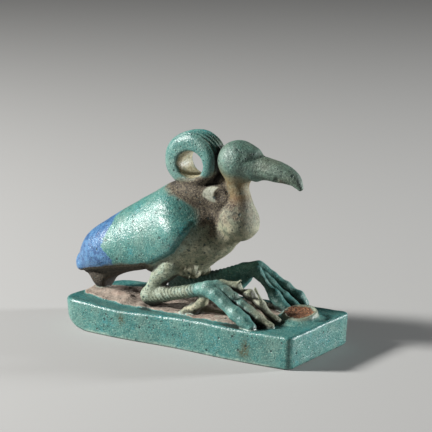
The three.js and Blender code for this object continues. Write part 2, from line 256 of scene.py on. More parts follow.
def f_base(x, y, z):
    u = (x + 27) / 54
    flat = 5.8 + 0.85 * u
    k = sstep(y, 2.0, -6.0)
    top = flat + (near_edge(x) - flat) * k
    hw = 9.85 + 1.05 * u - 0.18 * np.cos(x * 0.24)
    hw = hw + 0.25 * sstep(x, 0, -14) * sstep(x, -27, -20)
    zz = np.clip(z, 0, 7)
    b = 0.035 * (6.2 - zz)
    # bottom edge: barely broken along the sides, well rounded at the rear end
    rb = 0.35 + 2.4 * sstep(x, -20.5, -26.8) + 0.5 * sstep(x, 20, 27)
    q = np.clip(rb - zz, 0, None)
    b = b + (rb - np.sqrt(np.maximum(rb * rb - q * q, 0))) * 0.8
    xc = 0.06 * y
    dy = np.abs(y) - (hw - b)
    dx = np.abs(x - xc) - (27 + np.where(x < 0, 0.35, 0.0) - b)
    r = np.where(x < 0, 3.9, 1.35)
    qx, qy = dx + r, dy + r
    d2 = np.sqrt(np.maximum(qx, 0) ** 2 + np.maximum(qy, 0) ** 2) + np.minimum(np.maximum(qx, qy), 0) - r
    # top slightly sunk inside its border, then the crust on it
    inner = sstep(d2, -0.5, -2.6)
    cm = crust_mask(x, y)
    crest = np.interp(x, [-26, -22, -18.5, -15, -10, 0], [0.2, -1.0, -2.2, -3.6, -4.6, -6.0]).astype(f4)
    bank = 0.3 + 1.05 * sstep(x, -12.0, -15.0) * sstep(x, -27.0, -25.0) * np.exp(-((y - crest) / 2.0) ** 2)
    bank = bank + 0.22 * np.exp(-((y - crest) / 1.6) ** 2) * sstep(x, -15, -10)
    top = top - 0.16 * inner + cm * (bank + 0.26 * fbm(x, y, z, 1.5, 3, 7))
    dz = z - top
    e = 0.62
    ex, ez = d2 + e, dz + e
    d = np.sqrt(np.maximum(ex, 0) ** 2 + np.maximum(ez, 0) ** 2) + np.minimum(np.maximum(ex, ez), 0) - e
    return smax(d * 0.95, -z, 0.35)


def f_trunk(x, y, z):
    s = CT * x + ST * z
    n = -ST * x + CT * z
    b = axloft(s, n, y, BODY, 1.9, 3.4)
    # hollow each side between breast and crop
    ay = np.abs(y)
    b = smax(b, -ell(x, ay, z, (6.5, 6.4, 22.8), (2.5, 3.6, 5.4)), 1.6)
    b = smax(b, -ell(x, ay, z, (4.9, 5.3, 24.2), (1.9, 3.0, 3.0)), 1.5)
    # under the wings the tail slants in to its keel
    edge = np.interp(x, [-30, -25, -22, -18.4, -15.4, -10.7, -7.8], [9.5, 10.7, 11.5, 12.3, 12.95, 14.15, 15.1]).astype(f4)
    keel = edge - np.interp(x, [-18, -13.6, -10], [0.62, 0.3, 0.2]).astype(f4) * (4.8 - ay) - 8 * sstep(x, -11.0, -7.0)
    b = smax(b, (keel - z) * 0.85, 0.3)
    # folded wings stand out from the flank, fading out over the shoulder
    back = sstep(s, -16, -9)
    lobe = 0.75 * np.exp(-((x + 1.3) / 3.3) ** 2 - ((z - 22.7) / 2.5) ** 2)
    # crease between the shoulder and the wing's front lobe
    q = z - np.interp(x, [c[0] for c in CREASE], [c[1] for c in CREASE]).astype(f4)
    low = sstep(q, 0.35, -0.35)
    off = (0.72 + lobe) * low + (1 - low) * 0.78 * sstep(x + 0.35 * (z - 26), 2.6, -3.6)
    w = smax(b - off, poly2(x, z, WING), 0.9)
    d = np.minimum(b, w) + 0.2 * np.exp(-(q / 0.5) ** 2) * sstep(x, -9.0, -4.0) * sstep(x, 1.9, 0.6)
    # the two wings part along the back
    top = sstep(n, 22.5, 25.0)
    d = d + 0.3 * np.exp(-(y / 0.55) ** 2) * top * sstep(s, 3.5, -4.0) * back
    return d


def f_neckhead(x, y, z):
    ay = np.abs(y)
    crop = ell(x, y, z, (8.7, 0, 24.45), (3.95, 3.8, 3.75))
    nk = smin(crop, axloft(z, -x, y, NECK, 1.0, 1.0), 0.9)
    head = ell(x, y, z, (8.7, 0, 36.4), (4.22, 3.95, 4.2))
    head = smin(head, ell(x, y, z, (10.6, 0, 37.25), (3.05, 2.9, 2.6)), 0.5)
    dx, dz = x - BILL_C[0], z - BILL_C[1]
    th = np.arctan2(dx, dz) * 10.4
    rr = np.hypot(dx, dz)
    bill = axloft(th, rr, y, BILL, 1.5, 0.5)
    # slit between the halves of the bill, and a shallow nostril groove above it
    t = th / BILL_ARC
    mid = np.interp(t, [-10, 0, 13, 24, 33, 44], [10.1, 9.95, 9.85, 9.95, 10.2, 10.25]).astype(f4)
    g = np.exp(-((rr - mid) / 0.2) ** 2) * sstep(t, -12, -5) * sstep(t, 43, 36)
    g2 = np.exp(-((rr - mid - 1.0) / 0.26) ** 2) * sstep(t, -8, 0) * sstep(t, 34, 24)
    bill = bill + 0.09 * g + 0.12 * g2
    # chips on the lower edge
    bill = smax(bill, 0.4 - np.sqrt((x - 20.4) ** 2 + (y + 0.4) ** 2 * 0.4 + (z - 32.6) ** 2), 0.3)
    bill = smax(bill, 0.42 - np.sqrt((x - 17.9) ** 2 + (y + 1.85) ** 2 + (z - 34.15) ** 2), 0.4)
    hb = smin(head, bill, 0.75 + 0.9 * sstep(z, 37.6, 36.4))
    # eyes: a low worn rim round a shallow dot
    ex, ey, ez = x - 11.0, ay - 3.05, z - 38.1
    er = np.sqrt(ex * ex + ey * ey * 0.35 + ez * ez)
    hb = hb - 0.05 * np.exp(-((er - 0.85) / 0.35) ** 2) + 0.06 * np.exp(-(er / 0.5) ** 2)
    return smin(hb, nk, 0.8)


def bore_r(y):
    """the cord hole, waisted at mid width"""
    return 2.36 + 0.24 * sstep(np.abs(y), 0.8, 3.0)


def f_ring(x, y, z):
    X = (x - RING_C[0]) / 1.065
    Z = z - RING_C[1]
    rr = np.sqrt(X * X + Z * Z)
    h = 3.15
    ay = np.abs(y)
    band = np.sqrt(np.clip(1 - (y / 3.5) ** 2, 0, 1))
    rib = 0.17 * np.cos(y * (2 * math.pi / 1.12)) * sstep(ay, 2.75, 2.2)
    ro = 4.62 + 0.85 * band + rib + 0.05 * noise(x, y, z, 2.0, 3)
    d = smax(rr - ro, ay - h, 1.35)
    br = np.sqrt(((x - BORE_C[0]) / 1.1) ** 2 + (z - BORE_C[1]) ** 2)
    return smax(d, bore_r(y) - br, 0.8) * 0.9


def f_saddle(x, y, z):
    ay = np.abs(y)
    d = smin(ell(x, y, z, (-1.0, 0, 29.3), (5.4, 3.5, 2.9)), ell(x, y, z, (3.8, 0, 28.6), (5.0, 2.7, 3.0)), 1.2)
    d = smin(d, ell(x, y, z, (5.6, 0, 30.2), (2.9, 1.45, 3.6)), 0.8)
    # shallow bowl beside the neck, with a broad lip standing round its rear side
    lip = ell(x, ay, z, (4.3, 1.65, 30.0), (2.3, 0.95, 1.5))
    d = smin(d, lip, 0.7)
    bowl = ell(x, ay, z, (6.2, 3.3, 29.9), (1.8, 1.3, 1.75))
    return smax(d, -bowl, 0.25)


def scutes(x, y, z, d, a, b, pitch, amp, seed):
    """cross ridges along the bone from a to b"""
    bx, by, bz = b[0] - a[0], b[1] - a[1], b[2] - a[2]
    L = math.sqrt(bx * bx + by * by + bz * bz)
    t = ((x - a[0]) * bx + (y - a[1]) * by + (z - a[2]) * bz) / L
    ph = t + 0.35 * (z - a[2]) + 0.18 * noise(x, y, z, 1.7, seed)
    w = sstep(t, -0.6, 0.8) * sstep(t, L + 0.4, L - 1.2)
    return d - amp * w * np.cos(ph * (2 * math.pi / pitch))


def f_near(x, y, z):
    L = NEAR
    d = chain(x, y, z, L['tarsus'], 0.5)
    d = scutes(x, y, z, d, (-9.6, -5.1, 7.8), (4.6, -7.5, 12.1), 0.98, 0.12, 5)
    # shank: a broad flat block down from the body to the hock
    sh = chain(x, y, z, [(-3.6, -4.7, 15.2, 2.4), (-6.4, -5.1, 12.4, 1.75), (-8.75, -5.2, 8.4, 1.68)], 0.6)
    sh = smin(sh, cone(x, y, z, (-7.0, -5.4, 13.0), (-4.4, -5.3, 13.4), 0.9, 1.2), 0.5)
    sh = sh - 0.03 * np.cos(z * (2 * math.pi / 0.9) + 0.8 * x + 2 * noise(x, y, z, 1.5, 14)) * sstep(z, 12.0, 12.8)
    d = smin(d, sh, 0.5)
    d = smin(d, cone(x, y, z, (-9.1, -5.2, 8.6), (-4.6, -5.7, 9.9), 1.5, 1.1), 0.6)
    toes = None
    for k in ('hind', 'outer', 'middle', 'inner'):
        c = chain(x, y, z, L[k], 0.3)
        toes = c if toes is None else smin(toes, c, 0.1)
    toes = smin(toes, cone(x, y, z, (10.9, -4.6, 13.2), (12.0, -4.9, 14.3), 0.45, 0.2), 0.25)
    toes = smin(toes, cone(x, y, z, (16.3, -4.4, 10.8), (15.2, -4.9, 13.2), 0.42, 0.17), 0.25)
    rough = 0.05 + 0.07 * sstep(x, 8.5, 11.0) * sstep(y, -8.0, -7.0) + 0.12 * sstep(x, 6.0, 4.5)
    toes = toes - rough * noise(x, y, z, 1.15, 11) - 0.35 * rough * noise(x, y, z, 0.55, 13)
    return smin(d, toes, 0.3)


def f_far(x, y, z):
    L = FAR
    d = chain(x, y, z, L['tarsus'], 0.5)
    d = scutes(x, y, z, d, (-9.6, 5.1, 7.8), (4.6, 7.5, 12.1), 1.02, 0.08, 6)
    sh = chain(x, y, z, [(-3.2, 4.9, 15.2, 2.6), (-6.6, 5.2, 12.2, 1.85), (-8.7, 5.2, 8.4, 1.85)], 0.6)
    d = smin(d, sh, 0.5)
    toes = None
    for k in ('hind', 'outer', 'middle', 'inner'):
        c = chain(x, y, z, L[k], 0.3)
        toes = c if toes is None else smin(toes, c, 0.1)
    toes = toes - 0.09 * noise(x, y, z, 0.9, 12)
    return smin(d, toes, 0.3)


LUMPS = [((-2.7, -5.0, 14.9), (1.2, 1.0, 1.2)), ((-1.5, -4.8, 14.3), (1.1, 0.9, 1.3)), ((-0.5, -4.5, 14.2), (0.9, 0.9, 1.5)),
         ((0.5, -4.1, 14.7), (1.0, 0.9, 1.2)), ((-1.3, 1.0, 13.3), (2.4, 2.4, 1.1)), ((-1.0, -2.0, 13.4), (2.0, 1.8, 1.1)),
         ((-1.4, 4.6, 14.6), (1.6, 1.1, 1.3))]


def f_lumps(x, y, z):
    """ragged clay clinging under the belly beside the legs"""
    d = None
    for c, r in LUMPS:
        c = ell(x, y, z, c, r)
        d = c if d is None else smin(d, c, 0.3)
    n = noise(x, y, z * 0.6, 0.75, 23)
    return d - 0.22 * n - 0.08 * noise(x, y, z, 0.45, 24)


def f_stub(x, y, z):
    """stump of the lost figure: an uneven oval break on a flaring mound"""
    X, Y = x - 21.5, y - 1.7
    u = 0.85 * X + 0.526 * Y
    v = -0.526 * X + 0.85 * Y
    r = np.sqrt((u / 3.35) ** 2 + (v / 3.5) ** 2) + 0.05 * noise(x, y, x * 0, 1.6, 44)
    flare = 0.42 * sstep(z, 8.0, 6.2) ** 2
    side = (r - 1 - flare) * 3.3
    rough = 0.22 * fbm(x, y, z, 0.8, 3, 41)
    cap = z - (7.75 + 0.10 * u + 0.12 * v + rough * sstep(r, 1.0, 0.8) + 0.22 * np.exp(-((r - 0.92) / 0.1) ** 2) - 0.15 * sstep(r, 0.85, 0.4))
    return smax(side * 0.8, cap * 0.9, 0.35)


def field(x, y, z):
    """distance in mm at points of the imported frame, less than 0 inside"""
    x = x - f4(SHIFT)
    P = (x, y, z)
    d = boxed(P, (-30, -8.6, 7), (12.5, 8.6, 33.5), f_trunk)
    sad = boxed(P, (-7, -4.4, 25.5), (10, 4.4, 35), f_saddle)
    rg = boxed(P, (-7.4, -3.4, 30), (5.2, 3.4, 42.5), f_ring)
    hole = bore_r(y) - 0.1 - np.sqrt(((x - BORE_C[0]) / 1.1) ** 2 + (z - BORE_C[1]) ** 2)
    d = smax(smin(smin(d, sad, 2.0), rg, 0.7), np.where(z > 31, hole, f4(-9)), 0.4)
    d = smin(d, boxed(P, (3.5, -4.3, 19.5), (24, 4.3, 41.5), f_neckhead), 0.12 + 0.35 * sstep(z, 33.0, 31.5))
    d = smin(d, boxed(P, (-28.4, -6, 4.9), (-8, 6, 16.5), lambda x, y, z: axloft(x, z, y, TAIL, 0.9, 1.5)), 0.5)
    d = smin(d, boxed(P, (-5, -7, 11.2), (3, 6.5, 17.5), f_lumps), 0.5)
    d = smin(d, boxed(P, (-11.5, -11, 4), (20.5, -1.8, 18.5), f_near), 0.5)
    d = smin(d, boxed(P, (-11.5, 1.8, 4), (20.5, 11, 18.5), f_far), 0.5)
    base = boxed(P, (-28.6, -11, 0), (28.6, 11, 7.6), f_base)
    stub = boxed(P, (15.5, -4.5, 5), (27, 7.5, 9.2), f_stub)
    d = smin(d, smin(base, stub, 0.7), 0.45)
    # hand-made unevenness
    m = np.abs(d) < 1.2
    if m.any():
        X, Y, Z = x[m], y[m], z[m]
        low = sstep(Z, 0.0, 1.5)
        d[m] = d[m] - low * (0.07 * noise(X, Y, Z, 5.5, 71) + 0.045 * noise(X, Y, Z, 1.9, 72) + 0.02 * noise(X, Y, Z, 0.75, 73))
    return d


# ------------------------------------------------------------------ mesher
def sample(lo, hi, h):
    """the field on a grid; only the blocks near the surface are worked out"""
    B = 8
    n = [int(math.ceil((hi[a] - lo[a]) / h / B)) * B for a in range(3)]
    nb = [v // B for v in n]
    c = [lo[a] + (np.arange(nb[a]) + 0.5) * B * h - 0.5 * h for a in range(3)]
    CX, CY, CZ = np.meshgrid(*c, indexing='ij')
    d = field(CX.ravel().astype(f4), CY.ravel().astype(f4), CZ.ravel().astype(f4)).reshape(nb)
    near = np.abs(d) < B * h * 0.9 + 0.55
    V = np.where(d > 0, f4(1), f4(-1))
    V = np.repeat(np.repeat(np.repeat(V, B, 0), B, 1), B, 2)
    bi, bj, bk = np.nonzero(near)
    o = np.arange(B)
    OX, OY, OZ = [q.ravel() for q in np.meshgrid(o, o, o, indexing='ij')]
    step = 400
    for s in range(0, len(bi), step):
        I = (bi[s:s + step, None] * B + OX).ravel()
        J = (bj[s:s + step, None] * B + OY).ravel()
        K = (bk[s:s + step, None] * B + OZ).ravel()
        V[I, J, K] = field((lo[0] + I * h).astype(f4), (lo[1] + J * h).astype(f4), (lo[2] + K * h).astype(f4))
    return V, len(bi) * B ** 3


def nets(V, lo, h):
    """naive surface nets: one point in each mixed cell, one quad round each crossed edge"""
    S = V < 0
    n = [v - 1 for v in V.shape]
    cnt = np.zeros(n, np.uint8)
    cor = [(a, b, c) for a in (0, 1) for b in (0, 1) for c in (0, 1)]
    sl = lambda a, b, c: (slice(a, a + n[0]), slice(b, b + n[1]), slice(c, c + n[2]))
    for a, b, c in cor:
        cnt += S[sl(a, b, c)]
    mixed = (cnt > 0) & (cnt < 8)
    I, J, K = np.nonzero(mixed)
    idx = np.full(n, -1, np.int64)
    idx[mixed] = np.arange(len(I))
    P = np.zeros((len(I), 3)); W = np.zeros(len(I))
    val = {q: V[I + q[0], J + q[1], K + q[2]] for q in cor}
    for q in cor:
        for ax in range(3):
            if q[ax]:
                continue
            r = list(q); r[ax] = 1; r = tuple(r)
            a, b = val[q], val[r]
            m = (a < 0) != (b < 0)
            t = np.where(m, a / np.where(m, a - b, 1), 0)
            for k in range(3):
                P[:, k] += m * (q[k] + (t if k == ax else 0))
            W += m
    P = P / W[:, None] + np.stack([I, J, K], 1)
    quads = []
    for ax in range(3):
        o1, o2 = [(1, 2), (2, 0), (0, 1)][ax]
        hi = [slice(0, V.shape[k]) for k in range(3)]
        A = [slice(1, V.shape[k] - 1) for k in range(3)]; A[ax] = slice(0, V.shape[ax] - 1)
        Bs = list(A); Bs[ax] = slice(1, V.shape[ax])
        a, b = S[tuple(A)], S[tuple(Bs)]
        off = [1, 1, 1]; off[ax] = 0
        e = np.nonzero(a != b)
        inside = a[e]
        base = [e[k] + off[k] for k in range(3)]
        def cell(d1, d2):
            q = [base[0].copy(), base[1].copy(), base[2].copy()]
            q[o1] -= d1; q[o2] -= d2
            return idx[q[0], q[1], q[2]]
        Q = np.stack([cell(1, 1), cell(0, 1), cell(0, 0), cell(1, 0)], 1)
        Q[~inside] = Q[~inside][:, ::-1]
        quads.append(Q)
    Q = np.concatenate(quads)
    return np.asarray(lo) + P * h, Q


def slope(x, y, z, e=0.06):
    g = np.stack([field(x + f4(e), y, z) - field(x - f4(e), y, z), field(x, y + f4(e), z) - field(x, y - f4(e), z),
                  field(x, y, z + f4(e)) - field(x, y, z - f4(e))], 1) / (2 * e)
    return g


def in_parts(fn, P, size=200000):
    return np.concatenate([fn(*[P[s:s + size, k].astype(f4) for k in range(3)]) for s in range(0, len(P), size)])


# ------------------------------------------------------------------ surface states
def states(P, N):
    """point values 0..1 of each surface state, from where a point lies on the form and, for some painted shade and
    highlights, which way it faces
    """
    x = (P[:, 0] - SHIFT).astype(f4); y = P[:, 1].astype(f4); z = P[:, 2].astype(f4)
    nx, ny, nz = N[:, 0], N[:, 1], N[:, 2]
    ay = np.abs(y)
    Q = (x, y, z)
    D = dict(
        trunk=boxed(Q, (-30, -8.6, 7), (12.5, 8.6, 33.5), f_trunk),
        neck=boxed(Q, (3.5, -4.3, 19.5), (24, 4.3, 41.5), f_neckhead),
        saddle=boxed(Q, (-7, -4.4, 25.5), (10, 4.4, 35), f_saddle),
        ring=boxed(Q, (-7.4, -3.4, 30), (5.2, 3.4, 42.5), f_ring),
        tail=boxed(Q, (-28.4, -6, 4.9), (-8, 6, 16.5), lambda x, y, z: axloft(x, z, y, TAIL, 0.9, 1.5)),
        lumps=boxed(Q, (-5, -7, 11.2), (3, 6.5, 17.5), f_lumps),
        near=boxed(Q, (-11.5, -11, 4), (20.5, -1.8, 18.5), f_near),
        far=boxed(Q, (-11.5, 1.8, 4), (20.5, 11, 18.5), f_far),
        base=boxed(Q, (-28.6, -11, 0), (28.6, 11, 7.6), f_base),
        stub=boxed(Q, (15.5, -4.5, 5), (27, 7.5, 9.2), f_stub))
    best = np.min(np.stack(list(D.values())), 0)
    W = {k: np.exp(-(v - best) / 0.22) for k, v in D.items()}
    tot = sum(W.values())
    W = {k: v / tot for k, v in W.items()}
    n1 = fbm(x, y, z, 2.4, 3, 201)
    n2 = fbm(x, y, z, 5.0, 2, 202)
    n3 = fbm(x, y, z, 0.9, 2, 203)

    crease = z - np.interp(x, [c[0] for c in CREASE], [c[1] for c in CREASE])
    wing = sstep(poly2(x, z, WING) + 0.1 * n3, 0.25, -0.25) * sstep(crease, 0.3, -0.3)
    shield = sstep(poly2(x, z, SHIELD) + 0.7 * n1, 1.0, -1.6) * (0.15 + 0.85 * sstep(x + 1.5 * n1 + 0.35 * (z - 26), 3.2, -2.2))
    plume = np.maximum(wing, shield)

    # near foot: brightest at the ankle and the outer toe
    L = NEAR
    dout = chain(x, y, z, L['outer'], 0.3); dmid = chain(x, y, z, L['middle'], 0.3)
    dinn = chain(x, y, z, L['inner'], 0.3); dhin = chain(x, y, z, L['hind'], 0.3)
    dtar = chain(x, y, z, L['tarsus'], 0.5)
    ww = [np.exp(-np.maximum(q, -3) / 0.3) for q in (dout, dmid, dinn, dhin, dtar)]
    sw = sum(ww) + 1e-9
    tar_t = 0.42 + 0.5 * sstep(x, 1.0, 5.5)
    near_t = (ww[0] * 1.0 + ww[1] * (0.62 - 0.35 * sstep(x, 14, 18)) + ww[2] * 0.32 + ww[3] * 0.16 + ww[4] * tar_t) / sw
    near_t = np.where(z > 10.3, np.where(x < -3, 0.4, near_t), near_t)

    ring_low = sstep(z - 0.25 * x + 1.2 * n1, 34.2, 31.6)
    # painted shade: the ring's band on its right side, facing away from the key light
    ring_right_shade = sstep(x + 0.8 * n1, 0.3, 2.8) * sstep(ny, -0.85, -0.5)
    headz = np.maximum(sstep(z + 0.9 * n1, 32.4, 34.6), sstep(x + 0.25 * (z - 34) + 0.5 * n1, 10.8, 12.6))
    billx = sstep(x, 13.0, 15.5)
    turq = (W['base'] + W['trunk'] * plume + W['tail'] * 0.75 + W['ring'] * (1 - 0.85 * ring_low) * (1 - 0.45 * ring_right_shade)
            + W['near'] * near_t + W['far'] * 0.9 + W['neck'] * headz * (0.62 - 0.15 * billx) + W['lumps'] * 0.08
            + W['stub'] * 0.85 + W['saddle'] * 0.05)
    # the flank behind the wing's front edge keeps a thin grey-green glaze
    flank = W['trunk'] * (1 - plume) * sstep(z - 0.75 * x - 0.8 * n1, 16.6, 19.6) * sstep(x, 8.0, 4.0)
    turq = np.clip(turq + 0.4 * flank, 0, 1)

    line = np.interp(z, [8, 9.6, 10.8, 11.8, 13, 14.7, 17.4, 20, 24], [-25.6, -24.0, -22.6, -19.6, -17.6, -16.9, -19.7, -18.4, -17.6])
    blue = sstep(x - line + 0.7 * n1 + 0.35 * n3, 0.5, -0.6) * np.clip(W['trunk'] + W['tail'], 0, 1)
    # the tail's keel below the wing's lower edge is darkened: partly dirt, partly painted shade
    wedge = np.interp(x, [-30, -25, -22, -18.4, -15.4, -10.7, -7.8], [9.5, 10.7, 11.5, 12.3, 12.95, 14.15, 15.1])
    under = np.clip(W['tail'] + W['trunk'], 0, 1) * sstep(z - wedge - 0.1 * n3, 0.25, -0.25) * sstep(x, -7.0, -10.0)
    blue = blue * (1 - under)
    blue = np.maximum(blue, W['base'] * sstep(x, -24.8, -26.0) * sstep(z, 5.2, 5.8) * sstep(y + 0.8 * n3, 0.2, 0.8) * sstep(y + 0.8 * n3, 4.8, 4.0))

    # brown dirt on the saddle, the ring's foot, the back and the neck; darker at the breast's front beside the crop;
    # painted shade on the ring's right side
    dirt_and_shade = (W['saddle'] * 0.95 + W['ring'] * np.maximum(0.9 * ring_low, 0.42 * ring_right_shade)
            + W['trunk'] * (1 - plume) * sstep(z + 0.9 * n1, 23.0, 25.5) * 0.9
            + W['neck'] * (1 - headz) * (0.62 + 0.3 * n1) * sstep(z, 22.0, 26.0)
            + W['trunk'] * (1 - plume) * sstep(x, 1.5, 4.5) * sstep(z, 19.5, 22.5) * 0.75)
    # painted shade: the downward faces of the tail and the rear belly are darkened
    dirt_and_shade = np.maximum(dirt_and_shade, W['tail'] * sstep(nz, 0.1, -0.4) * 0.9)
    dirt_and_shade = np.maximum(dirt_and_shade, W['trunk'] * sstep(nz, -0.35, -0.75) * sstep(x, -6, -10) * 0.85)
    # painted highlight: the lip beside the bowl is made pale where the key light strikes it, and a pale strip on the
    # neck's front where the rim light falls
    lipr = np.sqrt(((x - 4.3) / 2.35) ** 2 + ((z - 30.0) / 1.6) ** 2)
    lini = np.hypot(x - 6.15, z - 29.9)
    painted_highlight = W['saddle'] * sstep(lipr + 0.15 * n3, 1.05, 0.7) * sstep(lini, 1.5, 1.8) * sstep(ay, 1.0, 1.5)
    painted_highlight = np.maximum(painted_highlight, 0.2 * W['neck'] * (1 - headz) * sstep(nx, 0.55, 0.9) * sstep(z, 34.0, 32.0))
    br = np.sqrt(((x - BORE_C[0]) / 1.1) ** 2 + (z - BORE_C[1]) ** 2)
    bore = W['ring'] * sstep(br, 3.1, 2.75) * sstep(ay + 0.3 * n3, 3.0, 2.4)
    dirt_and_shade = np.clip(np.maximum(dirt_and_shade, under) * (1 - 0.9 * painted_highlight), 0, 1)
    ochre = W['neck'] * sstep(z, 28.3, 30.0) * sstep(z + 0.35 * (x - 6) + 0.6 * n1, 36.4, 33.4) * (0.8 + 0.4 * n1) * sstep(x + 0.4 * n1, 12.4, 10.6)
    rust = 0.45 * np.exp(-((x - 9.2) ** 2 + (z - 29.4) ** 2) / 1.1) * W['neck'] + 0.4 * np.exp(-((x - 18.6) ** 2 + (z - 33.6) ** 2) / 0.6) * W['neck']

    topmask = W['base'] * sstep(nz, 0.25, 0.6) * sstep(z, 4.5, 5.2)
    crust = crust_mask(x, y) * topmask
    crust = np.maximum(crust, 0.75 * crust_mask(x, y) * sstep(z, 7.4, 6.5) * (W['near'] * 0.6 + W['far'] * 0.3 + W['tail'] * 0.7))
    crust = np.clip(crust, 0, 1)
    X, Y = x - 21.5, y - 1.7
    u = 0.85 * X + 0.526 * Y; v = -0.526 * X + 0.85 * Y
    r = np.sqrt((u / 3.35) ** 2 + (v / 3.5) ** 2)
    r = r + 0.05 * noise(x, y, x * 0, 1.6, 44)
    core = W['stub'] * sstep(r + 0.16 * n3 - 0.12 * sstep(x, 20.5, 18.8), 0.86, 0.74) * sstep(nz, 0.1, 0.5)
    rim = W['stub'] * sstep(r, 1.16, 0.98) * (1 - core) * sstep(z + 0.3 * n3, 6.7, 7.4) * (0.75 + 0.5 * n1)
    # brown stains on the near side
    stain = 0
    for sx, sz, rx, rz, s in ((-12.2, 4.2, 0.8, 1.4, 0.9), (16.6, 2.9, 0.9, 2.0, 1.0), (15.4, 1.9, 0.7, 0.8, 0.7)):
        stain = stain + s * np.exp(-((x - sx) / rx) ** 2 - ((z - sz) / rz) ** 2)
    stain = np.clip(stain * sstep(-y, 8.5, 9.3) * W['base'], 0, 1)

    size = len(x)
    cav = np.clip(1 - in_parts(field, P + N * 0.7) / 0.7, 0, 1)
    cav2 = np.clip(1 - in_parts(field, P + N * 2.0) / 2.0, 0, 1)
    edge_convexity = np.clip(1 + in_parts(field, P - N * 0.55) / 0.55, 0, 1)
    # pale plinth edges: partly wear, partly a painted highlight along them
    edge = W['base'] * sstep(edge_convexity, 0.12, 0.5)
    # deeper, glassier glaze pools along the wing's lower edge and in the plinth's border
    deep = W['trunk'] * wing * sstep(poly2(x, z, WING), -1.9, -0.5) * sstep(z + 0.3 * x, 24.5, 20.0) * 0.8
    deep = np.maximum(deep, topmask * (1 - crust) * 0.85)
    deep = np.clip(deep + 0.25 * n2, 0, 1)
    return dict(turq=turq * (1 - under), painted_highlight=np.clip(painted_highlight, 0, 1), bore=bore, under=under, blue=blue, dirt_and_shade=dirt_and_shade, ochre=np.clip(ochre, 0, 1), rust=np.clip(rust, 0, 1), crust=crust, core=core, rim=rim,
                stain=stain, cav=cav, cav2=cav2, edge=edge, deep=deep, head=np.clip(W['neck'] * headz, 0, 1),
                gloss=np.clip(W['base'] * (1 - crust) + W['trunk'] * plume + 0.6 * W['ring'] + 0.5 * W['near'] * near_t, 0, 1))


# ------------------------------------------------------------------ the piece
GRID = 0.15
LOW, HIGH = (-29.5, -11.4, -0.5), (29.5, 11.4, 42.7)


def make_piece():
    V, _ = sample(LOW, HIGH, GRID)
    P, Q = nets(V, LOW, GRID)
    for _ in range(2):
        d = in_parts(field, P)
        g = in_parts(slope, P)
        n = g / np.maximum(np.linalg.norm(g, axis=1, keepdims=True), 0.3)
        P = P - n * np.clip(d, -GRID, GRID)[:, None] * 0.8
    P[:, 2] = np.maximum(P[:, 2], 0)
    me = bpy.data.meshes.new("amulet")
    me.vertices.add(len(P)); me.vertices.foreach_set("co", (P * 0.001).astype(f4).ravel())
    me.loops.add(len(Q) * 4); me.loops.foreach_set("vertex_index", Q.astype(np.int32).ravel())
    me.polygons.add(len(Q)); me.polygons.foreach_set("loop_start", np.arange(0, len(Q) * 4, 4, dtype=np.int32))
    me.update(calc_edges=True); me.validate()
    ob = bpy.data.objects.new("amulet", me)
    bpy.context.scene.collection.objects.link(ob)
    target = 192000
    if len(Q) * 2 > target:
        mod = ob.modifiers.new("thin", "DECIMATE")
        mod.ratio = target / (len(Q) * 2)
        mod.use_collapse_triangulate = True
        dg = bpy.context.evaluated_depsgraph_get()
        thin = bpy.data.meshes.new_from_object(ob.evaluated_get(dg))
        ob.modifiers.clear()
        ob.data = thin
        bpy.data.meshes.remove(me)
        me = thin
    me.name = "amulet"
    me.polygons.foreach_set("use_smooth", np.ones(len(me.polygons), bool))
    n = len(me.vertices)
    co = np.empty(n * 3, f4); me.vertices.foreach_get("co", co)
    no = np.empty(n * 3, f4); me.vertices.foreach_get("normal", no)
    P = co.reshape(-1, 3).astype(float) * 1000; N = no.reshape(-1, 3).astype(float)
    parts = [states(P[s:s + 60000], N[s:s + 60000]) for s in range(0, n, 60000)]
    for k in parts[0]:
        a = me.attributes.new(k, 'FLOAT', 'POINT')
        a.data.foreach_set("value", np.clip(np.concatenate([p[k] for p in parts]), 0, 1).astype(f4))
    me.update()
    return ob


# ------------------------------------------------------------------ material
def lin(hex_colour):
    v = [int(hex_colour[i:i + 2], 16) / 255 for i in (0, 2, 4)]
    return tuple(c / 12.92 if c <= 0.04045 else ((c + 0.055) / 1.055) ** 2.4 for c in v) + (1.0,)


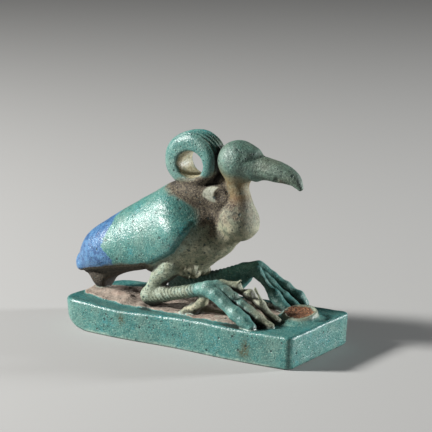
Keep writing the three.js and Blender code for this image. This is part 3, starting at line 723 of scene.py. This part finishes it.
class Graph:
    def __init__(self, name):
        self.mat = bpy.data.materials.new(name)
        self.mat.use_nodes = True
        self.nt = self.mat.node_tree
        self.nt.nodes.clear()
        co = self.nt.nodes.new("ShaderNodeTexCoord")
        sc = self.nt.nodes.new("ShaderNodeVectorMath"); sc.operation = 'SCALE'
        sc.inputs["Scale"].default_value = 1000.0
        self.nt.links.new(co.outputs["Object"], sc.inputs[0])
        self.mm = sc.outputs[0]

    def put(self, sock, v):
        if isinstance(v, bpy.types.NodeSocket):
            self.nt.links.new(v, sock)
        else:
            sock.default_value = v

    def attr(self, name):
        n = self.nt.nodes.new("ShaderNodeAttribute"); n.attribute_name = name
        return n.outputs["Fac"]

    def noise(self, size, detail=2.0, rough=0.55, seed=0.0, distort=0.0):
        n = self.nt.nodes.new("ShaderNodeTexNoise"); n.noise_dimensions = '3D'
        mp = self.nt.nodes.new("ShaderNodeVectorMath"); mp.operation = 'ADD'
        self.nt.links.new(self.mm, mp.inputs[0]); mp.inputs[1].default_value = (seed * 13.7, seed * 7.3, seed * 3.1)
        self.nt.links.new(mp.outputs[0], n.inputs["Vector"])
        n.inputs["Scale"].default_value = 1.0 / size
        n.inputs["Detail"].default_value = detail
        n.inputs["Roughness"].default_value = rough
        n.inputs["Distortion"].default_value = distort
        return n.outputs["Fac"]

    def cells(self, size, seed=0.0, rand=1.0):
        n = self.nt.nodes.new("ShaderNodeTexVoronoi"); n.voronoi_dimensions = '3D'; n.feature = 'F1'
        mp = self.nt.nodes.new("ShaderNodeVectorMath"); mp.operation = 'ADD'
        self.nt.links.new(self.mm, mp.inputs[0]); mp.inputs[1].default_value = (seed * 5.7, seed * 9.3, seed * 2.1)
        self.nt.links.new(mp.outputs[0], n.inputs["Vector"])
        n.inputs["Scale"].default_value = 1.0 / size
        n.inputs["Randomness"].default_value = rand
        return n.outputs["Distance"], n.outputs["Color"]

    def math(self, op, a, b=0.0, c=None, clamp=False):
        n = self.nt.nodes.new("ShaderNodeMath"); n.operation = op; n.use_clamp = clamp
        self.put(n.inputs[0], a); self.put(n.inputs[1], b)
        if c is not None:
            self.put(n.inputs[2], c)
        return n.outputs[0]

    def step(self, v, a, b, lo=0.0, hi=1.0):
        n = self.nt.nodes.new("ShaderNodeMapRange"); n.interpolation_type = 'SMOOTHSTEP'
        self.put(n.inputs["Value"], v)
        if a > b:
            a, b, lo, hi = b, a, hi, lo
        n.inputs["From Min"].default_value = a; n.inputs["From Max"].default_value = b
        n.inputs["To Min"].default_value = lo; n.inputs["To Max"].default_value = hi
        return n.outputs["Result"]

    def mix(self, f, a, b, mode='MIX'):
        n = self.nt.nodes.new("ShaderNodeMix"); n.data_type = 'RGBA'; n.blend_type = mode; n.clamp_factor = True
        self.put(n.inputs[0], f); self.put(n.inputs[6], a); self.put(n.inputs[7], b)
        return n.outputs[2]

    def mixf(self, f, a, b):
        n = self.nt.nodes.new("ShaderNodeMix"); n.data_type = 'FLOAT'
        self.put(n.inputs[0], f); self.put(n.inputs[2], a); self.put(n.inputs[3], b)
        return n.outputs[0]


def faience():
    g = Graph("glazed_faience")
    A = {k: g.attr(k) for k in ("turq", "painted_highlight", "bore", "under", "blue", "dirt_and_shade", "ochre", "rust", "crust", "core", "rim", "stain", "cav", "cav2", "edge", "deep",
                                "head", "gloss")}
    big = g.noise(4.5, 2.0, seed=1)
    mid = g.noise(1.3, 3.0, 0.6, seed=2)
    fine = g.noise(0.42, 2.0, 0.6, seed=3)
    grit = g.noise(0.22, 2.0, 0.65, seed=4)
    spot, spot_c = g.cells(0.85, seed=5)
    pit, pit_c = g.cells(1.9, seed=6)

    # turquoise glaze: mottled, grainy, deeper where it pools
    turq = g.mix(g.step(mid, 0.34, 0.68), lin("356d69"), lin("4f847d"))
    turq = g.mix(g.step(big, 0.42, 0.7, 0.0, 0.5), turq, lin("698379"))
    turq = g.mix(g.math('MULTIPLY', g.step(big, 0.45, 0.3), g.step(mid, 0.45, 0.65)), turq, lin("2f7c80"))
    turq = g.mix(g.math('MULTIPLY', A["deep"], g.step(mid, 0.8, 0.3, 0.3, 0.8)), turq, lin("1f6163"))
    turq = g.mix(g.step(fine, 0.53, 0.68, 0.0, 0.6), turq, lin("1f4a49"))
    turq = g.mix(g.step(grit, 0.45, 0.33, 0.0, 0.65), turq, lin("9cb8a8"))
    # cobalt on the tail, broken up where it meets the turquoise
    bm = g.step(g.math('ADD', A["blue"], g.math('MULTIPLY', g.math('SUBTRACT', fine, 0.5), 1.5)), 0.3, 0.7)
    blue = g.mix(g.step(mid, 0.35, 0.65), lin("2b4f7a"), lin("4a769e"))
    blue = g.mix(g.step(fine, 0.56, 0.7, 0.0, 0.55), blue, lin("1b3658"))
    blue = g.mix(g.step(grit, 0.43, 0.33, 0.0, 0.5), blue, lin("7fa6c6"))
    turq = g.mix(bm, turq, blue)

    # bare and thinly glazed faience: cream with green-grey grain
    bare = g.mix(g.step(mid, 0.35, 0.65), lin("767c66"), lin("a09c82"))
    bare = g.mix(g.step(fine, 0.52, 0.66, 0.0, 0.7), bare, lin("3c4438"))
    bare = g.mix(g.step(grit, 0.6, 0.7, 0.0, 0.55), bare, lin("22241c"))
    bare = g.mix(g.step(grit, 0.4, 0.3, 0.0, 0.5), bare, lin("c4c0a6"))

    tm = g.step(g.math('ADD', A["turq"], g.math('MULTIPLY', g.math('SUBTRACT', mid, 0.5), 0.7)), 0.2, 0.8)
    col = g.mix(tm, bare, turq)

    # head: bluish grey glaze stained brown
    head = g.mix(g.step(mid, 0.4, 0.62), lin("3a544c"), lin("546a5b"))
    head = g.mix(g.step(big, 0.45, 0.62, 0.0, 0.5), head, lin("4a4f3f"))
    head = g.mix(g.step(fine, 0.55, 0.66, 0.0, 0.65), head, lin("1c2521"))
    head = g.mix(g.step(grit, 0.42, 0.32, 0.0, 0.45), head, lin("95a596"))
    col = g.mix(g.math('MULTIPLY', A["head"], 0.72), col, head)

    # burial dirt, also used as painted shade: brown grains over pale
    dirt_shade_colour = g.mix(g.step(fine, 0.4, 0.62), lin("5c5343"), lin("2e271f"))
    dirt_shade_colour = g.mix(g.step(grit, 0.43, 0.33, 0.0, 0.75), dirt_shade_colour, lin("978b73"))
    dirt_shade_colour = g.mix(g.step(grit, 0.6, 0.7, 0.0, 0.8), dirt_shade_colour, lin("14100c"))
    dm = g.math('ADD', A["dirt_and_shade"], g.math('MULTIPLY', g.math('SUBTRACT', mid, 0.5), 0.8))
    dm = g.step(dm, 0.25, 0.85)
    col = g.mix(dm, col, dirt_shade_colour)
    col = g.mix(g.math('MULTIPLY', A["ochre"], g.step(mid, 0.3, 0.6, 0.35, 0.85)), col, lin("6f5a2c"))
    col = g.mix(g.math('MULTIPLY', A["rust"], g.step(fine, 0.35, 0.6, 0.5, 1.0)), col, lin("6b4528"))

    # painted highlight on the saddle's lip and the neck's front, cream bore, and the tail's keel darkened: partly dirt,
    # partly painted shade
    cream = g.mix(g.step(fine, 0.4, 0.62), lin("a8a288"), lin("837a5e"))
    col = g.mix(g.math('MULTIPLY', A["bore"], g.step(mid, 0.25, 0.55, 0.6, 1.0)), col, cream)
    col = g.mix(g.math('MULTIPLY', A["painted_highlight"], g.step(fine, 0.35, 0.6, 1.0, 0.45)), col, lin("94968a"))
    col = g.mix(g.math('MULTIPLY', A["under"], 0.6), col, lin("241d16"))

    # crust on the plinth
    cr = g.mix(g.step(mid, 0.35, 0.65), lin("80756a"), lin("98897c"))
    cr = g.mix(g.step(fine, 0.54, 0.7, 0.0, 0.6), cr, lin("54463c"))
    cr = g.mix(g.step(grit, 0.44, 0.32, 0.0, 0.7), cr, lin("c0b6a6"))
    cr = g.mix(g.step(big, 0.52, 0.7, 0.0, 0.5), cr, lin("84665a"))
    cm = g.step(g.math('ADD', A["crust"], g.math('MULTIPLY', g.math('SUBTRACT', fine, 0.5), 0.9)), 0.3, 0.68)
    col = g.mix(cm, col, cr)

    # stains, the break and its pale rim
    col = g.mix(g.math('MULTIPLY', A["stain"], g.step(fine, 0.3, 0.6, 0.3, 1.0)), col, lin("4a4426"))
    ko = g.mix(g.step(fine, 0.38, 0.6), lin("86573a"), lin("4e3222"))
    ko = g.mix(g.step(grit, 0.42, 0.33, 0.0, 0.8), ko, lin("c39d6f"))
    ko = g.mix(g.step(grit, 0.6, 0.68, 0.0, 0.7), ko, lin("2c1a10"))
    col = g.mix(A["core"], col, ko)
    col = g.mix(g.math('MULTIPLY', A["rim"], g.step(mid, 0.3, 0.6, 0.45, 0.95)), col, lin("99947c"))

    # pale plinth edges: partly wear, partly a painted highlight; hollows darkened: partly dirt, partly painted shade
    edge_wear_and_highlight = g.math('MULTIPLY', A["edge"], g.step(mid, 0.3, 0.58, 0.15, 0.95))
    col = g.mix(edge_wear_and_highlight, col, lin("b4c6b4"))
    hollow_dirt_and_shade = g.math('MULTIPLY', A["cav"], g.step(mid, 0.3, 0.7, 0.55, 1.0), clamp=True)
    hollow_dirt_and_shade = g.math('MULTIPLY', hollow_dirt_and_shade, g.math('SUBTRACT', 1.0, g.math('MAXIMUM', A["bore"], A["painted_highlight"])), clamp=True)
    col = g.mix(g.math('MULTIPLY', hollow_dirt_and_shade, 0.8), col, lin("2a221a"))

    # painted shade: the deeper hollows are darkened further, less so under the crust
    painted_hollow_shade = g.math('MULTIPLY', g.step(A["cav2"], 0.35, 0.85, 0.0, 0.75), g.math('SUBTRACT', 1.0, g.math('MAXIMUM', A["bore"], A["painted_highlight"])), clamp=True)
    painted_hollow_shade = g.math('MULTIPLY', painted_hollow_shade, g.math('SUBTRACT', 1.0, g.math('MULTIPLY', cm, 0.75)))
    col = g.mix(painted_hollow_shade, col, lin("1c1712"))

    # pinholes
    ph = g.math('MULTIPLY', g.step(spot, 0.2, 0.12), g.step(spot_c, 0.52, 0.6))
    ph2 = g.math('MULTIPLY', g.step(pit, 0.17, 0.11), g.step(pit_c, 0.62, 0.7))
    holes = g.math('MAXIMUM', ph, ph2)
    col = g.mix(g.math('MULTIPLY', holes, 0.8), col, lin("12302f"))

    # relief
    h = g.math('MULTIPLY', g.math('SUBTRACT', mid, 0.5), 0.05)
    h = g.math('ADD', h, g.math('MULTIPLY', g.math('SUBTRACT', fine, 0.5), 0.12))
    rough_zone = g.math('MAXIMUM', g.math('MAXIMUM', dm, cm), g.math('MAXIMUM', A["core"], g.math('MULTIPLY', g.math('SUBTRACT', 1.0, tm), 0.6)))
    h = g.math('ADD', h, g.math('MULTIPLY', g.math('MULTIPLY', g.math('SUBTRACT', grit, 0.5), g.math('ADD', 0.05, g.math('MULTIPLY', rough_zone, 0.11))), 1.0))
    h = g.math('SUBTRACT', h, g.math('MULTIPLY', holes, 0.09))
    bump = g.nt.nodes.new("ShaderNodeBump")
    bump.inputs["Strength"].default_value = 1.0
    bump.inputs["Distance"].default_value = 0.001
    g.put(bump.inputs["Height"], h)

    rough = g.mixf(A["gloss"], 0.5, 0.33)
    rough = g.math('ADD', rough, g.math('MULTIPLY', g.math('SUBTRACT', fine, 0.5), 0.5))
    rough = g.mixf(rough_zone, rough, 0.82)
    b = g.nt.nodes.new("ShaderNodeBsdfPrincipled")
    g.put(b.inputs["Base Color"], col)
    g.put(b.inputs["Roughness"], rough)
    g.put(b.inputs["Normal"], bump.outputs[0])
    b.inputs["Specular IOR Level"].default_value = 0.55
    b.inputs["IOR"].default_value = 1.5
    out = g.nt.nodes.new("ShaderNodeOutputMaterial")
    g.nt.links.new(b.outputs[0], out.inputs["Surface"])
    return g.mat


amulet = make_piece()
amulet.data.materials.append(faience())
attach(amulet, "root")
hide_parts("ibis_amulet")

# ------------------------------------------------------------------ floor, light, camera
floor_mesh = bpy.data.meshes.new("floor")
S = 3.0
floor_mesh.from_pydata([(-S, -S, 0), (S, -S, 0), (S, S, 0), (-S, S, 0)], [], [(0, 1, 2, 3)])
floor = bpy.data.objects.new("floor", floor_mesh)
bpy.context.scene.collection.objects.link(floor)
fm = bpy.data.materials.new("pale_floor")
fm.use_nodes = True
fb = fm.node_tree.nodes["Principled BSDF"]
fb.inputs["Base Color"].default_value = (0.38, 0.38, 0.375, 1)
fb.inputs["Roughness"].default_value = 0.8
floor_mesh.materials.append(fm)

TARGET = Vector((0.004807, 0.0, 0.02496))
AZ, EL, DIST = math.radians(31.73), math.radians(13.46), 0.35127


def toward(az, el):
    a, e = math.radians(az), math.radians(el)
    return Vector((math.sin(a) * math.cos(e), -math.cos(a) * math.cos(e), math.sin(e)))


def softbox(name, az, el, dist, size, power, colour=(1, 1, 1)):
    d = bpy.data.lights.new(name, 'AREA')
    d.shape = 'SQUARE'; d.size = size; d.energy = power; d.color = colour
    o = bpy.data.objects.new(name, d)
    o.location = TARGET + toward(az, el) * dist
    o.rotation_euler = toward(az, el).to_track_quat('Z', 'Y').to_euler()
    bpy.context.scene.collection.objects.link(o)
    return o


softbox("key", 31.73 - 89, 28, 0.6, 0.1, 8.6, (1.0, 0.985, 0.96))
softbox("rim", 31.73 + 98, 7, 0.6, 0.09, 5.4, (0.97, 0.99, 1.0))

world = bpy.data.worlds.new("studio")
bpy.context.scene.world = world
world.use_nodes = True
world.node_tree.nodes["Background"].inputs["Color"].default_value = (0.8, 0.82, 0.84, 1)
world.node_tree.nodes["Background"].inputs["Strength"].default_value = 0.03

cam = bpy.data.cameras.new("camera")
cam.lens = 150; cam.sensor_width = 36; cam.sensor_fit = 'HORIZONTAL'
cam.clip_start = 0.01; cam.clip_end = 20
camera = bpy.data.objects.new("camera", cam)
bpy.context.scene.collection.objects.link(camera)
back = Vector((math.sin(AZ) * math.cos(EL), -math.cos(AZ) * math.cos(EL), math.sin(EL)))
camera.location = TARGET + back * DIST
camera.rotation_euler = back.to_track_quat('Z', 'Y').to_euler()
bpy.context.scene.camera = camera
bpy.context.scene.view_settings.view_transform = 'Standard'
